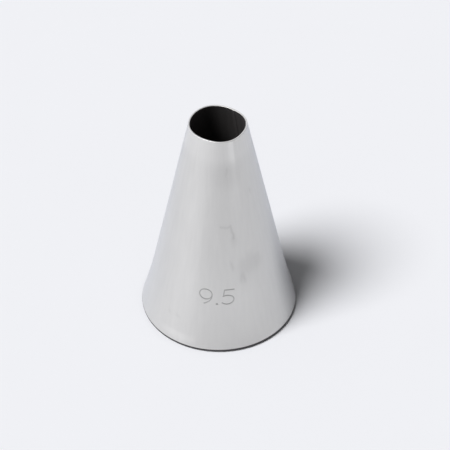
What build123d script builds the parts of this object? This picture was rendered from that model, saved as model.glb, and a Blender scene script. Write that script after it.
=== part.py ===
"""Plain round piping nozzle: a rolled cone of thin stainless sheet with its rim curled under, and a welded seam.

All lengths are in millimetres. The nozzle stands on its rim at z = 0, with +Z through the outlet.
Azimuths are in degrees, counted from +X towards +Y. The front, with the size mark, faces -Y.
"""

import os
from math import acos, atan2, ceil, cos, degrees, radians, sin

from build123d import *

os.makedirs("parts", exist_ok=True)

# Cone
overall_height = 41.4
base_diameter = 28.6
outlet_diameter = 9.5
sheet = 0.3
lip_chamfer = 0.06

# Rim: the wall flares a little, then its edge is curled under, inside the cone
flare_radius = 100.0
flare_turn = 5.6
curl_diameter = 1.2
curl_gap = 0.12
rest_flat_depth = 0.04

# The bends are drawn as short flats, which leave the true bend by no more than this depth
flat_depth = 0.01

# Seam
seam_width = 0.6
seam_azimuth = 54.0
seam_crown = 0.08

# One overrun serves every cut
cut_overrun = 1.0

# The curl is the widest place of the rim, and a thin flat is pressed on its underside
curl_radius = curl_diameter / 2
curl_mid_radius = curl_radius - sheet / 2
curl_centre = Vector(base_diameter / 2 - curl_radius, curl_radius - rest_flat_depth)

# The flare's circle touches the curl's from outside. The cone's straight wall touches the flare's circle
# and passes the outlet's edge, which sets the cone's half angle
flare_reach = curl_mid_radius + flare_radius
wall_offset = flare_reach * cos(radians(flare_turn)) - flare_radius - sheet / 2
to_outlet = Vector(outlet_diameter / 2, overall_height) - curl_centre
half_angle = atan2(to_outlet.Y, to_outlet.X) - acos(wall_offset / to_outlet.length)
down = Vector(sin(half_angle), -cos(half_angle))
outwards = Vector(cos(half_angle), sin(half_angle))

# Lean of the wall where the flare ends and the curl starts
rim_lean = half_angle + radians(flare_turn)
flare_centre = curl_centre + Vector(cos(rim_lean), sin(rim_lean)) * flare_reach
flare_start = flare_centre - outwards * flare_radius
line_top = flare_start - down * ((overall_height - flare_start.Y) / cos(half_angle) + cut_overrun)

# The curl rolls past the rim's widest place, under and up again, until its cut end stops a gap short of the wall
end_angle = acos((curl_radius - sheet - curl_gap) / curl_radius)
under_turn = 360.0 - degrees(end_angle + rim_lean)

# Middle line of the sheet, from the mouth down the cone and round the bends
with BuildLine() as middle_line:
    Line(line_top, flare_start)
    flare = JernArc(flare_start, down, flare_radius, flare_turn)
    shoulder = JernArc(flare @ 1, flare % 1, curl_mid_radius, -degrees(rim_lean))
    under = JernArc(shoulder @ 1, shoulder % 1, curl_mid_radius, -under_turn)


def beside(place, heading, distance):
    """The point at a distance to the inner side of a place on the middle line."""
    return place + heading.cross(Vector(0, 0, distance))


def sheet_face(side, crown):
    """Points down one face of the sheet: the cone, raised by a crown, then the bends in short flats."""
    points = [beside(line_top, down, side + crown), beside(flare_start, down, side + crown)]
    for bend in (flare, shoulder, under):
        flat_turn = 2 * acos(1 - flat_depth / bend.radius)
        flats = ceil(bend.length / bend.radius / flat_turn)
        for flat in range(flats):
            share = (flat + 1) / flats
            points.append(beside(bend @ share, bend % share, side))
    return points


def wall_section(crown):
    """Section of the wall, trimmed level at the mouth and pressed flat under the curl."""
    inner_face = sheet_face(sheet / 2, crown)
    outer_face = sheet_face(-sheet / 2, 0)
    with BuildSketch(Plane.XZ) as section:
        with BuildLine():
            Polyline(*inner_face, *reversed(outer_face), close=True)
        make_face()
        Rectangle(base_diameter, overall_height, align=(Align.MIN, Align.MIN), mode=Mode.INTERSECT)
        lip_corners = section.vertices().sort_by(Axis.Y)[-2:]
        chamfer(lip_corners, length=lip_chamfer)
    return section.sketch


# The butt seam is a narrow upright strip, from the axis out past the rim
seam_plane = Plane.XY.rotated((0, 0, seam_azimuth)).offset(-cut_overrun)
seam_reach = base_diameter / 2 + cut_overrun
seam_length = overall_height + 2 * cut_overrun
with BuildSketch(seam_plane) as seam_strip:
    Rectangle(seam_reach, seam_width, align=(Align.MIN, Align.CENTER))

# Cone shell: the sheet rolled round the axis, open along its butt seam
with BuildPart() as cone_shell:
    revolve(wall_section(crown=0), axis=Axis.Z)
    extrude(seam_strip.sketch, amount=seam_length, mode=Mode.SUBTRACT)

# Seam weld: fills the butt seam up the cone and round the curl, flush outside and crowned inside
with BuildPart() as seam_weld:
    revolve(wall_section(crown=seam_crown), axis=Axis.Z)
    extrude(seam_strip.sketch, amount=seam_length, mode=Mode.INTERSECT)

cone_shell.part.label = "cone_shell"
export_step(cone_shell.part, "parts/cone_shell.step")
seam_weld.part.label = "seam_weld"
export_step(seam_weld.part, "parts/seam_weld.step")

print("half angle of the cone, degrees", round(degrees(half_angle), 2))
print("turn of the curl, degrees", round(degrees(rim_lean) + under_turn, 1))
print("the flare starts at height", round(flare_start.Y, 2))
print("volume of the shell and the weld, mm3", round(cone_shell.part.volume, 1), round(seam_weld.part.volume, 2))
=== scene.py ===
# %% [markdown]
# # A plain round piping nozzle in satin stainless steel
#
# The object is one thin sheet, rolled into a cone and closed by a weld. Its small end is cut off
# level, and its wide end flares a little and is curled under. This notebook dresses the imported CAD
# model: it rebuilds the sheet and the weld as fine surfaces, gives both a steel finish, and lights
# them as on a photographer's table.
#
# First the CAD model is loaded. It is the frame that everything else is measured against.

import bmesh
import bpy
import numpy as np
from mathutils import Matrix, Vector


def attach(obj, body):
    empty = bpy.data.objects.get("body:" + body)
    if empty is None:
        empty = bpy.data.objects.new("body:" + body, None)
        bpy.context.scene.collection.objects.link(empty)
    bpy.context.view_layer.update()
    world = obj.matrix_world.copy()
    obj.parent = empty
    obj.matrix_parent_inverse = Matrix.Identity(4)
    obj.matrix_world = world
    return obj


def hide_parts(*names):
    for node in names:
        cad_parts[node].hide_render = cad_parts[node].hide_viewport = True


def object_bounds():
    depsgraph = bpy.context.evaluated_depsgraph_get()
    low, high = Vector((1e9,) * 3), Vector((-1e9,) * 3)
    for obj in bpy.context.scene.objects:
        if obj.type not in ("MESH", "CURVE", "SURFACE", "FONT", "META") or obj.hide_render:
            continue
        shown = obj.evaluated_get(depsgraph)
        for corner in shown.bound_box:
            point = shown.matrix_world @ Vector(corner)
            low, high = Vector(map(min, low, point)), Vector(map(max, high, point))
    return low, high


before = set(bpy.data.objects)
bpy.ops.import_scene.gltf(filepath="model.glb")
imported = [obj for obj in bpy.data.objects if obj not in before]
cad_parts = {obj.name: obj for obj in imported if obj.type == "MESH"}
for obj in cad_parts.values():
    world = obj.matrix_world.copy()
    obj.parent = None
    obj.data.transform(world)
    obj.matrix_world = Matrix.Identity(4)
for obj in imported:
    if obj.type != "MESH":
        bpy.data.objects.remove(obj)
cad_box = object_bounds()
MM = 0.001
print("CAD box in mm:", [round(side / MM, 2) for corner in cad_box for side in corner])

# %% [markdown]
# ## The camera
#
# The photographer stood in front and above, with a long lens. The place, the tilt and the focal
# length below came from fitting the cone's outline, its mouth and its rim. A camera object looks
# along its own -Z, so its rotation is built from three directions: right, up, and back. Writing
# them out is easier to check than angles turned one after the other.

# %% Place the camera
CAMERA_BACK, CAMERA_UP = 221.55, 219.38
CAMERA_TILT, CAMERA_PAN, CAMERA_ROLL = np.radians(42.259), -0.00531, -0.00441
FOCAL_PIXELS, PHOTO_PIXELS, SENSOR = 1670.0, 450, 36.0
CLIP_NEAR, CLIP_FAR = 0.01, 20.0


def camera_axes(tilt, pan, roll):
    """Right, up and back of a view along +Y, tilted down, panned about Z, and rolled."""
    look = np.array([-np.sin(pan) * np.cos(tilt), np.cos(pan) * np.cos(tilt), -np.sin(tilt)])
    level = np.array([np.cos(pan), np.sin(pan), 0.0])
    upright = np.cross(level, look)
    right = np.cos(roll) * level + np.sin(roll) * upright
    return right, np.cross(right, look), -look


lens = bpy.data.cameras.new("photo_camera")
lens.sensor_width = SENSOR
lens.lens = FOCAL_PIXELS / PHOTO_PIXELS * SENSOR
lens.clip_start, lens.clip_end = CLIP_NEAR, CLIP_FAR
camera = bpy.data.objects.new("photo_camera", lens)
bpy.context.scene.collection.objects.link(camera)
axes = np.array(camera_axes(CAMERA_TILT, CAMERA_PAN, CAMERA_ROLL)).T
standpoint = Matrix.Translation((0, -CAMERA_BACK * MM, CAMERA_UP * MM))
camera.matrix_world = standpoint @ Matrix(axes.tolist()).to_4x4()
bpy.context.scene.camera = camera
print("focal length in mm:", round(lens.lens, 1))

# %% [markdown]
# ## The sheet, seen in section
#
# Cut the nozzle through its axis and the wall is a ribbon of one thickness. A ribbon is easy to
# describe by its middle line: straight down the cone, a long gentle flare outwards, and then a
# tight curl that rolls past the widest place, under, and up inside until its cut end nearly meets
# the wall. Every piece of the line is straight or an arc, so place and heading have exact formulas,
# and the two faces lie half a sheet to either side.
#
# All sizes are in millimetres until the points go into a mesh. The wall has to pass the mouth's
# edge and to meet the flare without a kink, and these two conditions give the cone's angle.

# %% Sizes of the sheet
HEIGHT = cad_box[1].z / MM
BASE_RADIUS = cad_box[1].x / MM
MOUTH_RADIUS = 4.75
SHEET = 0.3
FLARE_RADIUS, FLARE_TURN = 100.0, np.radians(5.6)
CURL_RADIUS, CURL_PRESSED, CURL_GAP = 0.6, 0.04, 0.12

curl_centre = np.array([BASE_RADIUS - CURL_RADIUS, CURL_RADIUS - CURL_PRESSED])
curl_middle = CURL_RADIUS - SHEET / 2
flare_reach = curl_middle + FLARE_RADIUS
wall_offset = flare_reach * np.cos(FLARE_TURN) - FLARE_RADIUS - SHEET / 2
to_mouth = np.array([MOUTH_RADIUS, HEIGHT]) - curl_centre
half_angle = np.arctan2(to_mouth[1], to_mouth[0]) - np.arccos(wall_offset / np.hypot(*to_mouth))
print("half angle of the cone in degrees:", round(float(np.degrees(half_angle)), 2))

# %% Middle line of the sheet
down = np.array([np.sin(half_angle), -np.cos(half_angle)])
outwards = np.array([np.cos(half_angle), np.sin(half_angle)])
rim_lean = half_angle + FLARE_TURN
flare_centre = curl_centre + flare_reach * np.array([np.cos(rim_lean), np.sin(rim_lean)])
flare_start = flare_centre - outwards * FLARE_RADIUS
curl_turn = 2 * np.pi - np.arccos((CURL_RADIUS - SHEET - CURL_GAP) / CURL_RADIUS)
CONE_LENGTH = (HEIGHT - flare_start[1]) / np.cos(half_angle)
FLARE_END = CONE_LENGTH + FLARE_RADIUS * FLARE_TURN
FULL_LENGTH = FLARE_END + curl_middle * curl_turn


def middle_line(s):
    """Place, heading and outward normal at path length s from the mouth.

    The heading angle is constant down the cone, grows by length over radius along the flare, and
    shrinks by length over radius round the curl. On an arc, the place is the arc's centre plus or
    minus its radius along the normal.
    """
    along_flare = np.clip(s - CONE_LENGTH, 0, FLARE_END - CONE_LENGTH) / FLARE_RADIUS
    round_curl = np.clip(s - FLARE_END, 0, None) / curl_middle
    angle = half_angle - np.pi / 2 + along_flare - round_curl
    heading = np.stack([np.cos(angle), np.sin(angle)], axis=-1)
    normal = np.stack([-np.sin(angle), np.cos(angle)], axis=-1)
    on_cone = flare_start - down * (CONE_LENGTH - np.minimum(s, CONE_LENGTH))[:, None]
    on_flare = flare_centre - normal * FLARE_RADIUS
    on_curl = curl_centre + normal * curl_middle
    place = np.where((s > CONE_LENGTH)[:, None], on_flare, on_cone)
    place = np.where((s > FLARE_END)[:, None], on_curl, place)
    return place, heading, normal


print("sheet from mouth to cut end in mm:", round(float(FULL_LENGTH), 2))

# %% [markdown]
# ## Where the points go
#
# A surface on a grid is as fine as its rows and columns. The stamped number needs points every
# twentieth of a millimetre, while the plain cone needs hardly any. So both directions are laid out
# as runs, each with its own step: the dense runs cross where the number is. The rows are path
# lengths, and start a little below the mouth, where the rounding of the lip ends.


# %% Runs of rows and columns
def runs(start, *ends_and_steps):
    """Values from the start through each run's end, at equal steps no longer than that run's."""
    values = [np.array([start])]
    for end, step in ends_and_steps:
        count = int(np.ceil((end - values[-1][-1]) / step))
        values.append(np.linspace(values[-1][-1], end, count + 1)[1:])
    return np.concatenate(values)


def below_mouth(z):
    """Path length from the mouth down to a height on the cone."""
    return (HEIGHT - z) / np.cos(half_angle)


LIP_DROP = 0.12
MARK_LOW, MARK_HIGH = 9.4, 13.2
SMUDGE_LOW, SMUDGE_HIGH = 22.5, 27.0
outer_rows = runs(
    LIP_DROP,
    (0.9, 0.13),
    (below_mouth(38.0), 0.4),
    (below_mouth(SMUDGE_HIGH), 1.0),
    (below_mouth(SMUDGE_LOW), 0.18),
    (below_mouth(MARK_HIGH), 1.0),
    (below_mouth(MARK_LOW), 0.05),
    (FLARE_END - 0.6, 0.6),
    (FLARE_END, 0.15),
    (FULL_LENGTH, 0.085),
)
inner_rows = runs(
    LIP_DROP,
    (0.9, 0.26),
    (CONE_LENGTH, 2.0),
    (FLARE_END, 1.0),
    (FULL_LENGTH, 0.11),
)
print("rows on the outer and inner face:", len(outer_rows), len(inner_rows))

SEAM_AZIMUTH = 54.0
SEAM_HALF = 0.3
columns = runs(
    SEAM_AZIMUTH,
    (242.0, 2.0),
    (245.0, 0.6),
    (292.0, 0.25),
    (312.0, 0.8),
    (SEAM_AZIMUTH + 360, 2.0),
)
print("columns round the cone:", len(columns))

# %% [markdown]
# ## The outline of the section
#
# The faces are joined at both ends of the sheet. The curl's cut end is a plain half round. The
# mouth was cut level and its edges were broken, so its outline is half of a superellipse: a curve
# between an ellipse and a rectangle, flat on top with small round corners.

# %% Closed outline
END_TURNS = np.linspace(0, np.pi, 7)[1:-1]
LIP_SHARES = np.linspace(0, 1, 15)[1:-1]
LIP_POWER = 0.55


def superellipse(angle, power):
    """Cosine and sine of the angle, each raised to a power below one but keeping its sign."""
    c, s = np.cos(angle), np.sin(angle)
    return np.sign(c) * np.abs(c) ** power, np.sign(s) * np.abs(s) ** power


def outline(outer, inner, outer_rise, inner_rise):
    """Points (radius, height) round the section.

    They run down the outer face, round the sheet's end at the curl, up the inner face and over the
    lip. Each face is the middle line moved half a sheet along its normal, plus a rise that may
    differ at every point. Rises have the shape (rows, columns), and so have the radius and the
    height that come back.
    """
    place, _, normal = middle_line(outer)
    out = place[:, None] + normal[:, None] * (SHEET / 2 + outer_rise)[..., None]
    place, _, normal = middle_line(inner)
    back = place[:, None] - normal[:, None] * (SHEET / 2 + inner_rise)[..., None]
    end, heading, normal = middle_line(np.array([FULL_LENGTH]))
    half_round = np.cos(END_TURNS)[:, None] * normal + np.sin(END_TURNS)[:, None] * heading
    rounding = np.repeat((end + SHEET / 2 * half_round)[:, None], out.shape[1], axis=1)
    across_lip, over_lip = superellipse(np.pi * (1 - LIP_SHARES), LIP_POWER)
    share = ((across_lip + 1) / 2)[:, None, None]
    lip = back[:1] * (1 - share) + out[:1] * share
    to_top = -down * (LIP_DROP / np.cos(half_angle))
    lip = lip + to_top * over_lip[:, None, None]
    points = np.concatenate([out, rounding, back[::-1], lip])
    return points[..., 0], np.clip(points[..., 1], 0, HEIGHT)


# %% [markdown]
# ## Round, but not quite
#
# Thin sheet springs. The photographed mouth isn't a true circle: it is a little oval, and a little
# flat at the back right, where the seam's weld holds the sheet stiffer. Both are waves round the
# azimuth: two waves for the oval, four for the flats. They fade to nothing towards the rim, because
# the curl keeps that end round.

# %% Out of round
OVAL_SHARE, OVAL_AZIMUTH = 0.025, 125.0
SQUARE_SHARE, SQUARE_AZIMUTH = 0.0175, 15.0
ROUND_BELOW = 3.0


def out_of_round(azimuth, height):
    """Share that the radius grows by: two waves and four waves round, fading towards the rim."""
    fade = np.clip((height - ROUND_BELOW) / (HEIGHT - ROUND_BELOW), 0, 1)
    oval = OVAL_SHARE * np.cos(2 * np.radians(azimuth - OVAL_AZIMUTH))
    square = SQUARE_SHARE * np.cos(4 * np.radians(azimuth - SQUARE_AZIMUTH))
    return fade * (oval + square)


# %% [markdown]
# ## The stamped size
#
# Low on the front, a number is pressed into the sheet with single thin strokes. Here it is the
# opening in millimetres. Each stroke is a line of points on the unrolled sheet. The groove's depth
# depends only on the distance to the nearest stroke, so one distance field gives the whole number,
# with a faint raised edge beside the groove where the metal was pushed up.

# %% Strokes of the number
MARK_AZIMUTH, MARK_BASE, MARK_REACH = -91.5, 9.8, 5.0
DIGIT_WIDE = 2.5
NINE_LEFT, POINT_LEFT, FIVE_LEFT = -3.25, 0.0, 0.75


def bow(centre, radii, first, last, count=24):
    """Points on an ellipse from the first to the last angle in degrees."""
    angle = np.radians(np.linspace(first, last, count))
    across = centre[0] + radii[0] * np.cos(angle)
    up = centre[1] + radii[1] * np.sin(angle)
    return np.stack([across, up], axis=-1)


def nine():
    """A bowl in the upper part, and a tail that swings down from its right side.

    As in every digit here, one unit is the digit's width.
    """
    bowl = bow((0.5, 0.78), (0.46, 0.40), 0, 360, 30)
    tail = bow((0.1, 0.78), (0.86, 0.80), 0, -72, 16)
    return [bowl, tail]


def five():
    """A flag, a short stem and an open bowl."""
    flag = np.array([[0.92, 1.18], [0.24, 1.18], [0.16, 0.66]])
    bowl = bow((0.44, 0.38), (0.48, 0.36), 130, -140, 26)
    return [flag, bowl]


def point():
    """One small round dot."""
    return [bow((0.0, 0.04), (0.05, 0.04), 0, 360, 8)]


def placed(strokes, left):
    """Strokes scaled to their real width, and moved so that the digit starts at the left."""
    return [stroke * DIGIT_WIDE + np.array([left, MARK_BASE]) for stroke in strokes]


number = placed(nine(), NINE_LEFT) + placed(point(), POINT_LEFT) + placed(five(), FIVE_LEFT)
print("strokes in the number:", len(number))


# %% Distance to the strokes
FAR_AWAY = 9.0


def stroke_distance(across, up, strokes):
    """Distance from every point to the nearest stroke: a foot on each segment, and the least."""
    spots = np.stack([across, up], axis=-1)
    nearest = np.full(across.shape, FAR_AWAY)
    for stroke in strokes:
        for a, b in zip(stroke[:-1], stroke[1:]):
            along = b - a
            share = np.clip(((spots - a) @ along) / (along @ along), 0, 1)
            to_foot = spots - a - share[..., None] * along
            nearest = np.minimum(nearest, np.linalg.norm(to_foot, axis=-1))
    return nearest


GROOVE_HALF, GROOVE_DEPTH = 0.10, 0.035
RIDGE_AWAY, RIDGE_HEIGHT = 0.21, 0.006


def groove(distance):
    """A bell-shaped hollow along the stroke, with a low ridge about two half-widths away."""
    hollow = np.exp(-((distance / GROOVE_HALF) ** 2))
    ridge = np.exp(-(((distance - RIDGE_AWAY) / GROOVE_HALF) ** 2))
    return RIDGE_HEIGHT * ridge - GROOVE_DEPTH * hollow


def stamped(azimuth, height, radius):
    """Rise of the outer face from the number, worked out only on the dense part of the grid."""
    across = np.radians(azimuth - 360 - MARK_AZIMUTH) * radius
    near = (np.abs(across) < MARK_REACH) & (height > MARK_LOW) & (height < MARK_HIGH)
    rise = np.zeros(across.shape)
    rise[near] = groove(stroke_distance(across[near], height[near], number))
    return rise


# %% [markdown]
# ## The sheet's small unevenness
#
# Rolling leaves long, shallow flats along the cone. They are far too small to see as shape, about a
# fiftieth of a millimetre, but metal shows them as soft upright bands. They are a sum of waves
# round the azimuth: each has a count of waves, a height and an azimuth where it starts.

# %% Soft flats
FLAT_WAVES = ((5, 0.012, 20.0), (9, 0.007, 75.0), (14, 0.003, 40.0))
FLAT_TWIST = 1.5
FLATS_START, FLATS_FULL = 1.5, 7.5


def soft_flats(azimuth, height):
    """Sum of waves round the cone that grow above the rim. Each turns a little with height."""
    rise = np.zeros(np.broadcast(azimuth, height).shape)
    for waves, size, start in FLAT_WAVES:
        rise += size * np.cos(np.radians(waves * (azimuth - start) + FLAT_TWIST * height))
    return rise * np.clip((height - FLATS_START) / (FLATS_FULL - FLATS_START), 0, 1)


# %% [markdown]
# ## Sweeping the section round the axis
#
# The shell isn't a full turn: it stops at both sides of the seam. The seam is a slot of one width,
# so at a small radius it takes a larger angle. Each column is therefore placed between two edges
# whose angle is worked out from the radius at hand. A grid that is closed along the section and
# open round the axis needs two end caps.

# %% Sweep and mesh
SHARP_ABOVE = np.radians(48)


def swept(radius, height, edge_angle, share):
    """Points on circles round the axis, at a share of the way from one seam edge to the other."""
    azimuth = np.radians(SEAM_AZIMUTH) + edge_angle + share * (2 * np.pi - 2 * edge_angle)
    return np.stack([radius * np.cos(azimuth), radius * np.sin(azimuth), height], axis=-1)


def grid_mesh(name, points):
    """A closed mesh from points (rows, columns).

    Rows join in a loop, columns don't, and the first and the last column are capped.
    """
    rows, cols = points.shape[:2]
    index = np.arange(rows * cols).reshape(rows, cols)
    below = np.roll(index, -1, axis=0)
    corners = [index[:, :-1], below[:, :-1], below[:, 1:], index[:, 1:]]
    quads = np.stack(corners, axis=-1).reshape(-1, 4)
    faces = quads.tolist() + [index[::-1, 0].tolist(), index[:, -1].tolist()]
    mesh = bpy.data.meshes.new(name)
    mesh.from_pydata((points.reshape(-1, 3) * MM).tolist(), [], faces)
    mesh.polygons.foreach_set("use_smooth", np.ones(len(faces), dtype=bool))
    mesh.set_sharp_from_angle(angle=SHARP_ABOVE)
    mesh.update()
    piece = bpy.data.objects.new(name, mesh)
    bpy.context.scene.collection.objects.link(piece)
    return piece


def measured(piece):
    """Volume in cubic millimetres, triangles and open edges.

    The volume keeps its sign, which is positive where the faces point outwards.
    """
    bm = bmesh.new()
    bm.from_mesh(piece.data)
    volume = bm.calc_volume(signed=True) / MM**3
    triangles = sum(len(f.verts) - 2 for f in bm.faces)
    open_edges = sum(1 for e in bm.edges if not e.is_manifold)
    bm.free()
    return round(volume, 2), triangles, open_edges


# %% Build the shell
share_round = (columns - SEAM_AZIMUTH) / 360
outer_place = middle_line(outer_rows)[0]
inner_place = middle_line(inner_rows)[0]
azimuths = columns[None, :]
outer_height, inner_height = outer_place[:, 1:], inner_place[:, 1:]
azimuth_grid, height_grid = np.broadcast_arrays(azimuths, outer_height)
number_rise = stamped(azimuth_grid, height_grid, outer_place[:, :1] + SHEET / 2)
outer_rise = soft_flats(azimuths, outer_height) + number_rise
inner_rise = -soft_flats(azimuths, inner_height)
section_radius, section_height = outline(outer_rows, inner_rows, outer_rise, inner_rise)
section_radius = section_radius * (1 + out_of_round(azimuths, section_height))
edge_radius = section_radius[:, :1] * (1 - share_round) + section_radius[:, -1:] * share_round
edge_angle = np.arcsin(SEAM_HALF / edge_radius)
shell_points = swept(section_radius, section_height, edge_angle, share_round[None, :])
shell = grid_mesh("rolled_shell", shell_points)
print("shell volume, triangles, open edges:", measured(shell))

# %% [markdown]
# ## The seam's weld
#
# The two edges of the rolled sheet were welded together from end to end. Outside, the bead was
# ground flush. Inside it stands a little proud, with the fine ripples that a moving torch leaves.
# It is the same section as the shell's, across the width of the slot, with a crown on its inner
# face. The ripples are bowed, because the pool of metal trails behind in the middle.

# %% Build the weld
CROWN, CROWN_FADES = 0.075, 1.5
RIPPLE_EVERY, RIPPLE_SHARE, RIPPLE_BOW = 0.55, 0.22, 0.18
GRIND_DIP = 0.012
weld_outer = runs(LIP_DROP, (0.9, 0.2), (CONE_LENGTH, 0.8), (FLARE_END, 0.4), (FULL_LENGTH, 0.085))
weld_inner = runs(LIP_DROP, (FLARE_END, 0.11), (FULL_LENGTH, 0.11))
across_seam = np.linspace(-1, 1, 15)[None, :]
bulge = np.sqrt(np.clip(1 - across_seam**2, 0, 1))
crown_fade = np.clip((FLARE_END - weld_inner) / CROWN_FADES, 0, 1)[:, None]
trailing = weld_inner[:, None] + RIPPLE_BOW * (1 - across_seam**2)
ripples = 1 + RIPPLE_SHARE * np.sin(2 * np.pi * trailing / RIPPLE_EVERY)
flats_outside = soft_flats(SEAM_AZIMUTH, middle_line(weld_outer)[0][:, 1:])
flats_inside = soft_flats(SEAM_AZIMUTH, middle_line(weld_inner)[0][:, 1:])
weld_outer_rise = flats_outside - GRIND_DIP * bulge
weld_inner_rise = CROWN * bulge * ripples * crown_fade - flats_inside
weld_radius, weld_height = outline(weld_outer, weld_inner, weld_outer_rise, weld_inner_rise)
weld_radius = weld_radius * (1 + out_of_round(SEAM_AZIMUTH, weld_height))
weld_angle = np.radians(SEAM_AZIMUTH) + np.arcsin(SEAM_HALF * across_seam / weld_radius)
weld_x, weld_y = weld_radius * np.cos(weld_angle), weld_radius * np.sin(weld_angle)
weld = grid_mesh("seam_weld_bead", np.stack([weld_x, weld_y, weld_height], axis=-1))
print("weld volume, triangles, open edges:", measured(weld))

# %% [markdown]
# ## Where the polish reached, and painted shade
#
# Only the outside of the nozzle was polished. Looking down through the mouth, the photographed sheet
# is almost black, and the rim ends in a thin dark line where the curl turns under. Both are mostly
# shade: little light gets down the hollow, and the curl's outer side mirrors its own contact shadow
# on the table. Here that shade is painted as dark grey, together with the duller finish inside. A
# material can't tell these faces from the rest, so the mesh says it with a number at every point:
#
# - the skin share is how much dull finish and painted shade there is: all of it inside below the
#   mouth, and little farther down,
# - the rim line is the dark line on the outer side of the curl, painted shade,
# - the lip's bright edge, where the sheet was cut, is a painted highlight,
# - the stamp is how deep the point lies in the number, whose grooves are painted darker as shade.

# %% Attributes on the points
LEAST_SKIN_AND_SHADE = 0.25
DARK_INSIDE, DULL_INSIDE = 26.0, 12.0
LINE_FROM, LINE_FULL = np.radians(34.0), np.radians(5.0)
LINE_FADES, LINE_TO = np.radians(-15.0), np.radians(-50.0)
LINE_LAST_TURN, SKIN_AND_SHADE_TURN = np.radians(110), np.radians(100)


def eased(value, start, end):
    """0 before the start, 1 after the end, and three x squared minus two x cubed between them."""
    x = np.clip((value - start) / (end - start), 0, 1)
    return x * x * (3 - 2 * x)


def rim_shade_line(outer):
    """The painted shade line, from the outer face's tilt from level.

    It is eased up to 1 where the curl looks out, and back to 0 underneath. The curl's outer side
    mirrors its own contact shadow on the table, and that shade is painted here.
    """
    normal = middle_line(outer)[2]
    tilt = np.arctan2(normal[:, 1], normal[:, 0])
    line = eased(-tilt, -LINE_FROM, -LINE_FULL) * (1 - eased(-tilt, -LINE_FADES, -LINE_TO))
    on_outer_side = (outer > FLARE_END) & (outer < FLARE_END + curl_middle * LINE_LAST_TURN)
    return np.where(on_outer_side, line, 0.0)


def outside_skin_and_shade(outer):
    """The outer face: the painted shade line, and a little dull finish and shade where the curl
    turns in.
    """
    turned_in = outer > FLARE_END + curl_middle * SKIN_AND_SHADE_TURN
    return np.maximum(rim_shade_line(outer), np.where(turned_in, LEAST_SKIN_AND_SHADE, 0.0))


def inside_skin_and_shade(inner):
    """The dull finish and painted shade on the inner face: 1 near the mouth, and the least below."""
    height = middle_line(inner)[0][:, 1]
    return LEAST_SKIN_AND_SHADE + (1 - LEAST_SKIN_AND_SHADE) * eased(height, DULL_INSIDE, DARK_INSIDE)


def by_row(on_outer, on_end, on_inner, on_lip, cols):
    """One column of numbers in the outline's order, repeated all the way round."""
    at_end = np.full(len(END_TURNS), on_end)
    column = np.concatenate([on_outer, at_end, on_inner[::-1], on_lip])
    return np.repeat(column[:, None], cols, axis=1)


def give(piece, name, values):
    """Store one number per point, in the order in which the points went into the mesh."""
    attribute = piece.data.attributes.new(name, "FLOAT", "POINT")
    attribute.data.foreach_set("value", np.asarray(values, dtype=np.float32).ravel())


# The second share is the lip's bright edge, a painted highlight.
lip_skin_and_shade, lip_highlight_share = (1 - LIP_SHARES) ** 2, np.sin(np.pi * LIP_SHARES) ** 0.5
for piece, outer, inner, cols in (
    (shell, outer_rows, inner_rows, len(columns)),
    (weld, weld_outer, weld_inner, across_seam.shape[1]),
):
    skin_and_shade = by_row(outside_skin_and_shade(outer), LEAST_SKIN_AND_SHADE, inside_skin_and_shade(inner), lip_skin_and_shade, cols)
    give(piece, "dull_skin_and_shade", skin_and_shade)
    # The rim line is painted shade: the curl's side mirrors its contact shadow.
    give(piece, "painted_rim_shade", by_row(rim_shade_line(outer), 0.0, 0 * inner, 0 * lip_highlight_share, cols))
    give(piece, "painted_lip_highlight", by_row(0 * outer, 0.0, 0 * inner, lip_highlight_share, cols))


def on_outer_face(values):
    """Numbers of the shell's outer face, followed by 0 for all its other points."""
    everywhere = np.zeros(shell_points.shape[:2])
    everywhere[: len(outer_rows)] = values
    return everywhere


give(shell, "stamp", on_outer_face(np.clip(-number_rise / GROOVE_DEPTH, 0, 1)))
print("rows in the rim's dark line:", int((rim_shade_line(outer_rows) > 0.5).sum()))

# %% [markdown]
# ## Smudges and the polished streak
#
# The photographed steel has been handled. There is a hooked smear at half height, a cloudy patch
# below it on the right, a few small spots, and one streak near the mouth that is shinier than the
# rest. Each is a soft shape on the unrolled sheet: a distance to a line or a centre, eased from 1
# inside to 0 outside. A positive smudge dulls the finish, and a negative one polishes it.
#
# Places are an azimuth in degrees and a height. The azimuths run from -180 to 180, and the front
# is at -90. A smear's width is a length, so degrees are turned into millimetres for it, at the
# cone's radius about half way up.

# %% Places of the smudges
MM_PER_DEGREE = np.radians(1.0) * 9.5
HOOK = ((-87.0, 25.3), (-79.0, 25.1), (-75.5, 25.4), (-74.5, 24.3), (-72.5, 23.6), (-73.2, 22.9))
SHORT_MARKS = (
    ((-78.2, 18.4), (-76.6, 17.7), (-75.8, 16.9)),
    ((-68.5, 14.2), (-67.8, 15.2), (-66.2, 15.3), (-64.9, 14.0), (-62.8, 13.7)),
    ((-127.0, 5.9), (-125.2, 5.5)),
    ((-134.5, 5.9), (-133.5, 5.4)),
    ((-77.5, 35.4), (-75.5, 36.2), (-75.2, 35.7)),
    ((-42.0, 30.6), (-40.6, 30.3)),
)
SMEARS = ((HOOK, 0.22, 1.0), *((mark, 0.24, 0.8) for mark in SHORT_MARKS))
SMEARS_LEFT, SMEARS_RIGHT, SMEARS_LOW, SMEARS_HIGH = -137, -36, 3, 38

PATCHES = (
    ((-73.0, 22.4), (4.0, 0.9), 0.35, 0.6),
    ((-74.0, 35.2), (13.0, 2.4), 0.24, 0.8),
    ((-108.0, 19.5), (9.0, 3.0), 0.18, 0.8),
)
CLOUD_CENTRE, CLOUD_HALF_SIZES = (-57.0, 17.3), (15.0, 2.3)
CLOUD_WEIGHT, CLOUD_SOFTNESS = 0.40, 0.35
CLOUD_TOP, CLOUD_TOP_BOW = 18.9, 0.006

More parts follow.
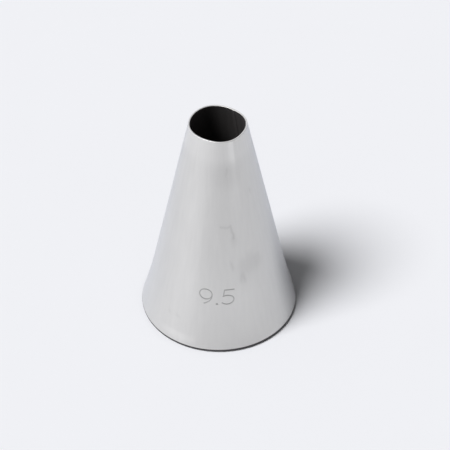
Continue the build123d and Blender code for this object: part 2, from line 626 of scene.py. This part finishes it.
STREAK_LEFT, STREAK_RIGHT = (-76.0, -65.0), (-62.5, -58.5)
STREAK_STAGES = ((0.62, 37.6, 36.8), (0.38, 34.0, 25.0))
STREAK_POLISH = 0.35
print("smears and patches:", len(SMEARS), len(PATCHES) + 1)


# %% Smudges
def spread(azimuth, height, centre, half_sizes, softness):
    """A soft oval patch: 1 in the middle, and eased to 0 over its edge, which half sizes give."""
    aside, above = (azimuth - centre[0]) / half_sizes[0], (height - centre[1]) / half_sizes[1]
    return 1 - eased(np.hypot(aside, above), 1 - softness, 1 + softness)


def streak(turn, height):
    """The shinier streak: eased at both sides, and fading down the cone in two stages."""
    across_it = eased(turn, *STREAK_LEFT) * (1 - eased(turn, *STREAK_RIGHT))
    faded = sum(share * eased(-height, -high, -low) for share, high, low in STREAK_STAGES)
    return across_it * (1 - faded)


def smears(turn, height):
    """Bell-shaped smears along their lines, worked out only where they are."""
    total = np.zeros(turn.shape)
    near = (turn > SMEARS_LEFT) & (turn < SMEARS_RIGHT)
    near &= (height > SMEARS_LOW) & (height < SMEARS_HIGH)
    for line, half, weight in SMEARS:
        scaled = np.array(line) * np.array([MM_PER_DEGREE, 1.0])
        away = stroke_distance(turn[near] * MM_PER_DEGREE, height[near], [scaled])
        total[near] += weight * np.exp(-((away / half) ** 2))
    return total


def cloud(turn, height):
    """The cloudy patch: an oval that is wiped off along a bowed upper edge."""
    upper_edge = CLOUD_TOP - CLOUD_TOP_BOW * (turn - CLOUD_CENTRE[0]) ** 2
    oval = spread(turn, height, CLOUD_CENTRE, CLOUD_HALF_SIZES, CLOUD_SOFTNESS)
    return CLOUD_WEIGHT * oval * eased(upper_edge - height, -0.15, 0.25)


def smudges(turn, height):
    """Sum of the smears, the cloud and the patches, less the polished streak."""
    total = smears(turn, height) + cloud(turn, height)
    for centre, half_sizes, weight, softness in PATCHES:
        total += weight * spread(turn, height, centre, half_sizes, softness)
    return total - STREAK_POLISH * streak(turn, height)


turn_grid = np.where(azimuth_grid > 180, azimuth_grid - 360, azimuth_grid)
smudge_values = on_outer_face(smudges(turn_grid, height_grid))
give(shell, "smudge", smudge_values)
print("least and most smudge:", smudge_values.min().round(2), smudge_values.max().round(2))

# %% [markdown]
# ## Painted light and shade on the steel
#
# The grey is painted lighter and darker in places, to stand in for light and shade. It is lighter
# at the left, towards the lamp, at the mouth, and above the rim, where the curl's bend gets a
# painted highlight. It is darker down the middle, towards the dark part of the room, and low on the
# right, a painted reflection of the shadow on the table. These are tones: shares that are added to
# the grey. Most are soft ovals with a centre, half sizes and a signed weight.

# %% Painted light and shade
# Painted light on the left, painted shade down the middle, a painted highlight above the rim, a
# darker band below the mouth, a lighter patch low at the front right, and a painted reflection of
# the table's shadow low on the right.
PAINTED_LIGHT_TONES = (
    ((-122.0, 20.0), (12.0, 17.0), 0.045),
    ((-93.0, 26.0), (14.0, 13.0), -0.045),
    ((-124.0, 1.9), (14.0, 0.7), 0.080),
    ((-80.0, 35.0), (26.0, 2.2), -0.026),
    ((-66.0, 8.0), (14.0, 5.0), 0.025),
    ((-6.0, 5.0), (17.0, 13.0), -0.120),
)
PAINTED_LIGHT_SOFTNESS = 0.6
TOP_BRIGHTER, TOP_STARTS, TOP_FULL = 0.055, 36.3, 38.6
# The polished streak is also painted lighter: a painted highlight.
STREAK_PAINTED_HIGHLIGHT = 0.075


def painted_light_tones(turn, height):
    """Share of painted light and shade in the grey: the ovals, the mouth's bright end, the streak.
    """
    total = TOP_BRIGHTER * eased(height, TOP_STARTS, TOP_FULL)
    total = total + STREAK_PAINTED_HIGHLIGHT * streak(turn, height)
    for centre, half_sizes, weight in PAINTED_LIGHT_TONES:
        total = total + weight * spread(turn, height, centre, half_sizes, PAINTED_LIGHT_SOFTNESS)
    return total


painted_light_values = on_outer_face(painted_light_tones(turn_grid, height_grid))
give(shell, "painted_light_tone", painted_light_values)
print("least and most tone:", painted_light_values.min().round(3), painted_light_values.max().round(3))

# %% [markdown]
# ## Steel
#
# Satin stainless is a metal with a rough mirror: it shows the pale table, blurred. Its own colour is
# nearly even, so the look is in the roughness. Four things change it: soft bands that run up the
# sheet, because rolling polished some lines more than others; fine rings round the cone from the
# polishing wheel; clouds from handling; and the numbers stored on the points. Some of these numbers
# also paint shade and highlights into the grey: the dark hollow inside, the dark line at the rim,
# the bright lip, the darker grooves of the number, and the lighter and darker places. A least
# roughness keeps single spots from turning into little mirrors.
#
# The patterns are noise. Noise is even in all directions, so its coordinates are stretched: the
# direction round the axis and the height are scaled apart. Little height gives upright bands, and
# much height gives rings.


# %% Node helpers
def node(tree, kind, inputs=(), **options):
    """Add a node. An input that gets an output is linked, and any other is set to the value."""
    made = tree.nodes.new("ShaderNode" + kind)
    for name, value in options.items():
        setattr(made, name, value)
    for slot, value in inputs:
        if isinstance(value, bpy.types.NodeSocket):
            tree.links.new(value, made.inputs[slot])
        else:
            made.inputs[slot].default_value = value
    return made


def maths(tree, operation, *values):
    """The output of a Math node."""
    return node(tree, "Math", tuple(enumerate(values)), operation=operation).outputs[0]


def vectors(tree, operation, *values):
    """The vector that a Vector Math node gives."""
    return node(tree, "VectorMath", tuple(enumerate(values)), operation=operation).outputs[0]


def sum_of(tree, first, *weighted):
    """First plus each further output times its weight, as a chain of multiply-and-add nodes."""
    total = first
    for source, weight in weighted:
        total = maths(tree, "MULTIPLY_ADD", source, weight, total)
    return total


def object_place(tree):
    """The place on the object, in metres."""
    return node(tree, "TexCoord").outputs["Object"]


def round_and_up(tree, around, upwards):
    """Coordinates for a pattern: the unit direction from the axis and the height, each scaled."""
    place = object_place(tree)
    level = vectors(tree, "MULTIPLY", place, (1.0, 1.0, 0.0))
    unit = vectors(tree, "NORMALIZE", level)
    scaled = vectors(tree, "MULTIPLY", unit, (around, around, around))
    return vectors(tree, "MULTIPLY_ADD", place, (0.0, 0.0, upwards), scaled)


def noise(tree, coordinates, scale, detail):
    """Noise about zero: the node gives about 0 to 1, and one half is taken off."""
    settings = (("Vector", coordinates), ("Scale", scale), ("Detail", detail))
    return maths(tree, "SUBTRACT", node(tree, "TexNoise", settings).outputs["Fac"], 0.5)


def stored(tree, name):
    """The number that the mesh keeps at its points."""
    return node(tree, "Attribute", attribute_name=name).outputs["Fac"]


# %% [markdown]
# Each pattern has a scale round the axis, a scale upwards, the noise's own scale and its detail.
# The weld takes the same recipe as the sheet with other numbers: greyer, rougher and with coarser
# rings, because it was ground. It has no smudges, tones or number, and a number that a mesh doesn't
# keep reads as 0.

# %% Satin steel
# The second grey is mostly painted shade: the dark hollow inside and the rim's dark line.
STEEL_GREY, SHADED_SKIN_GREY = (0.705, 0.698, 0.684, 1.0), (0.21, 0.197, 0.197, 1.0)
WELD_GREY = (0.64, 0.633, 0.62, 1.0)
METAL_SHARE = 0.80
EDGE_TINT = (0.86, 0.90, 0.98, 1.0)
SATIN, WELD_SATIN, LEAST_ROUGH = 0.40, 0.44, 0.31
SATIN_BANDS, WELD_BANDS = 0.18, 0.04
SATIN_RINGS, WELD_RINGS = 0.0006, 0.0015
BANDS, THIN_BANDS = (1.0, 9.0, 3.2, 3.0), (1.0, 14.0, 15.0, 2.0)
RINGS = (0.9, 4200.0, 1.0, 2.0)
CLOUDS, CLOUDS_DETAIL = 190.0, 3.0
STORED = ("dull_skin_and_shade", "painted_rim_shade", "painted_lip_highlight", "smudge", "stamp", "painted_light_tone")
MIX_SHARE, MIX_FIRST, MIX_SECOND, MIX_COLOUR = 0, 6, 7, 2


def steel(name, grey, satin, band_weight, ring_height):
    """A metal whose roughness and grey follow bands, rings, clouds and the stored numbers."""
    material = bpy.data.materials.new(name)
    material.use_nodes = True
    tree = material.node_tree
    surface = tree.nodes["Principled BSDF"]
    surface.inputs["Metallic"].default_value = METAL_SHARE
    surface.inputs["Specular Tint"].default_value = EDGE_TINT
    bands, thin_bands, rings = (
        noise(tree, round_and_up(tree, around, upwards), scale, detail)
        for around, upwards, scale, detail in (BANDS, THIN_BANDS, RINGS)
    )
    clouds = noise(tree, object_place(tree), CLOUDS, CLOUDS_DETAIL)
    dull_skin_and_shade, painted_rim_shade, painted_lip_highlight, smudge, stamp, painted_light_tone = (stored(tree, kept) for kept in STORED)
    roughness = sum_of(
        tree,
        satin,
        (bands, band_weight),
        (thin_bands, 0.6 * band_weight),
        (rings, 0.05),
        (clouds, 0.10),
        (smudge, 0.15),
        (dull_skin_and_shade, 0.14),
    )
    tree.links.new(maths(tree, "MAXIMUM", roughness, LEAST_ROUGH), surface.inputs["Roughness"])
    # Shade of the grey: bands, thin bands and clouds vary it at random, and smudges darken handled
    # places and lighten the polished streak a little. The number's grooves, the rim's dark line, the
    # lip's bright edge and the stored tones are painted shade and highlights.
    shade = sum_of(
        tree,
        1.0,
        (bands, 0.12),
        (thin_bands, 0.09),
        (clouds, 0.05),
        (smudge, -0.06),
        (stamp, -0.45),
        (painted_rim_shade, -0.75),
        (painted_lip_highlight, 0.12),
        (painted_light_tone, 1.0),
    )
    # The dull share mixes in that dark grey: a duller finish, but mostly painted shade.
    greys = ((MIX_SHARE, dull_skin_and_shade), (MIX_FIRST, grey), (MIX_SECOND, SHADED_SKIN_GREY))
    mixed = node(tree, "Mix", greys, data_type="RGBA").outputs[MIX_COLOUR]
    tree.links.new(vectors(tree, "MULTIPLY", mixed, shade), surface.inputs["Base Color"])
    ridges = (("Height", rings), ("Distance", ring_height * MM), ("Strength", 1.0))
    tree.links.new(node(tree, "Bump", ridges).outputs[0], surface.inputs["Normal"])
    return material


satin = steel("satin_steel_rolled", STEEL_GREY, SATIN, SATIN_BANDS, SATIN_RINGS)
shell.data.materials.append(satin)
ground = steel("weld_steel_ground", WELD_GREY, WELD_SATIN, WELD_BANDS, WELD_RINGS)
weld.data.materials.append(ground)
print("nodes in the satin steel:", len(satin.node_tree.nodes))

# %% [markdown]
# ## The table
#
# The nozzle stands on matt white card. In the photograph the card is very pale and a little blue,
# so that is the floor's colour. Card isn't perfectly even, and a faint cloudy noise keeps it from
# looking like plastic. The floor is staged: it belongs to the picture, and not to the object.

# %% Floor
FLOOR_COLOUR = (0.905, 0.913, 0.949, 1.0)
FLOOR_HALF = 4.0
CARD_ROUGHNESS = 0.9
CARD_CLOUDS, CARD_CLOUDS_DETAIL, CARD_CLOUDS_WEIGHT = 45.0, 3.0, 0.012
floor_mesh = bpy.data.meshes.new("table_top")
corners = [(x * FLOOR_HALF, y * FLOOR_HALF, 0.0) for x, y in ((-1, -1), (1, -1), (1, 1), (-1, 1))]
floor_mesh.from_pydata(corners, [], [(0, 1, 2, 3)])
floor = bpy.data.objects.new("table_top", floor_mesh)
bpy.context.scene.collection.objects.link(floor)
card = bpy.data.materials.new("matt_white_card")
card.use_nodes = True
card_tree = card.node_tree
card_surface = card_tree.nodes["Principled BSDF"]
card_surface.inputs["Roughness"].default_value = CARD_ROUGHNESS
card_surface.inputs["Specular IOR Level"].default_value = 0.0
cloudy = noise(card_tree, object_place(card_tree), CARD_CLOUDS, CARD_CLOUDS_DETAIL)
card_shade = sum_of(card_tree, 1.0, (cloudy, CARD_CLOUDS_WEIGHT))
card_colour = vectors(card_tree, "MULTIPLY", FLOOR_COLOUR[:3], card_shade)
card_tree.links.new(card_colour, card_surface.inputs["Base Color"])
floor_mesh.materials.append(card)
print("table top in m:", 2 * FLOOR_HALF)

# %% [markdown]
# ## The lamp
#
# The shadow tells where the lamp is. It falls to the right and a little back, so the lamp is at the
# left and a little in front. It is shorter than the cone is tall, so the lamp is high. Its edge is
# soft, and softer the farther it is from the rim, so the lamp is large. A sun lamp with a wide
# angle does this with one number for the direction's spread, and its light doesn't fall off over
# the card.
#
# The light is shared out so that card facing up receives exactly 1: a part from the room, and the
# rest from the lamp. Then the card shows its own colour, and nothing is brightened by more light.

# %% Lamp
KEY_AZIMUTH, KEY_ELEVATION = np.radians(206.5), np.radians(58.2)
KEY_SPREAD = np.radians(26.0)
ROOM_LIGHT = 0.18


def direction(azimuth, elevation):
    """Unit vector towards an azimuth and an elevation."""
    level = np.cos(elevation)
    return Vector((level * np.cos(azimuth), level * np.sin(azimuth), np.sin(elevation)))


key = bpy.data.lights.new("soft_key", "SUN")
key.energy = np.pi * (1 - ROOM_LIGHT) / np.sin(KEY_ELEVATION)
key.angle = KEY_SPREAD
key_lamp = bpy.data.objects.new("soft_key", key)
towards_key = direction(KEY_AZIMUTH, KEY_ELEVATION)
key_lamp.rotation_euler = towards_key.to_track_quat("Z", "Y").to_euler()
bpy.context.scene.collection.objects.link(key_lamp)
print("lamp strength:", round(key.energy, 2))

# %% [markdown]
# ## The room
#
# Metal shows its surroundings more than its own colour. The photographed steel is pale at the left
# and greyer at the front right, so the room that it mirrors isn't even: the photographer and the
# dark part of the room are at the front right. The world gives each kind of ray what it needs:
#
# - rays from the camera see the pale card colour,
# - rays that metal mirrors see the same pale room, fading to dark towards the front right,
# - scattered rays see the plain room light that fills the shadow.
#
# The fade is a smooth step on the cosine between the ray and the dark direction.

# %% World
DARK_AZIMUTH, DARK_ELEVATION = np.radians(-38.0), np.radians(8.0)
DARK_FROM, DARK_TO = -0.15, 0.25
world = bpy.data.worlds.new("pale_room")
bpy.context.scene.world = world
world.use_nodes = True
sky = world.node_tree
sky.nodes.clear()
ray = node(sky, "TexCoord").outputs["Generated"]
both = ((0, ray), (1, direction(DARK_AZIMUTH, DARK_ELEVATION)))
towards_dark = node(sky, "VectorMath", both, operation="DOT_PRODUCT").outputs["Value"]
fade_inputs = ((0, towards_dark), (1, DARK_FROM), (2, DARK_TO), (3, 1.0), (4, 0.0))
fade = node(sky, "MapRange", fade_inputs, interpolation_type="SMOOTHSTEP").outputs["Result"]
room = node(sky, "Background", (("Strength", ROOM_LIGHT),))
pale = node(sky, "Background", (("Color", FLOOR_COLOUR), ("Strength", 1.0)))
mirrored = node(sky, "Background", (("Color", FLOOR_COLOUR), ("Strength", fade)))
kinds = node(sky, "LightPath").outputs
shown = room.outputs[0]
for kind, seen in (
    ("Is Glossy Ray", mirrored),
    ("Is Transmission Ray", pale),
    ("Is Camera Ray", pale),
):
    either = ((0, kinds[kind]), (1, shown), (2, seen.outputs[0]))
    shown = node(sky, "MixShader", either).outputs[0]
node(sky, "OutputWorld", (("Surface", shown),))
print("nodes in the world:", len(sky.nodes))

# %% [markdown]
# Two settings of the picture are fixed here. The view transform is Standard, so that pale stays
# pale. Light that the steel would throw onto the card as bright specks is left out, because the
# photograph shows none.

# %% Picture settings
bpy.context.scene.view_settings.view_transform = "Standard"
bpy.context.scene.cycles.caustics_reflective = False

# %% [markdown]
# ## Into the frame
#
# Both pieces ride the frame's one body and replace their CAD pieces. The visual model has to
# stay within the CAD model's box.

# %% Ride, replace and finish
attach(shell, "root")
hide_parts("cone_shell")
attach(weld, "root")
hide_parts("seam_weld")
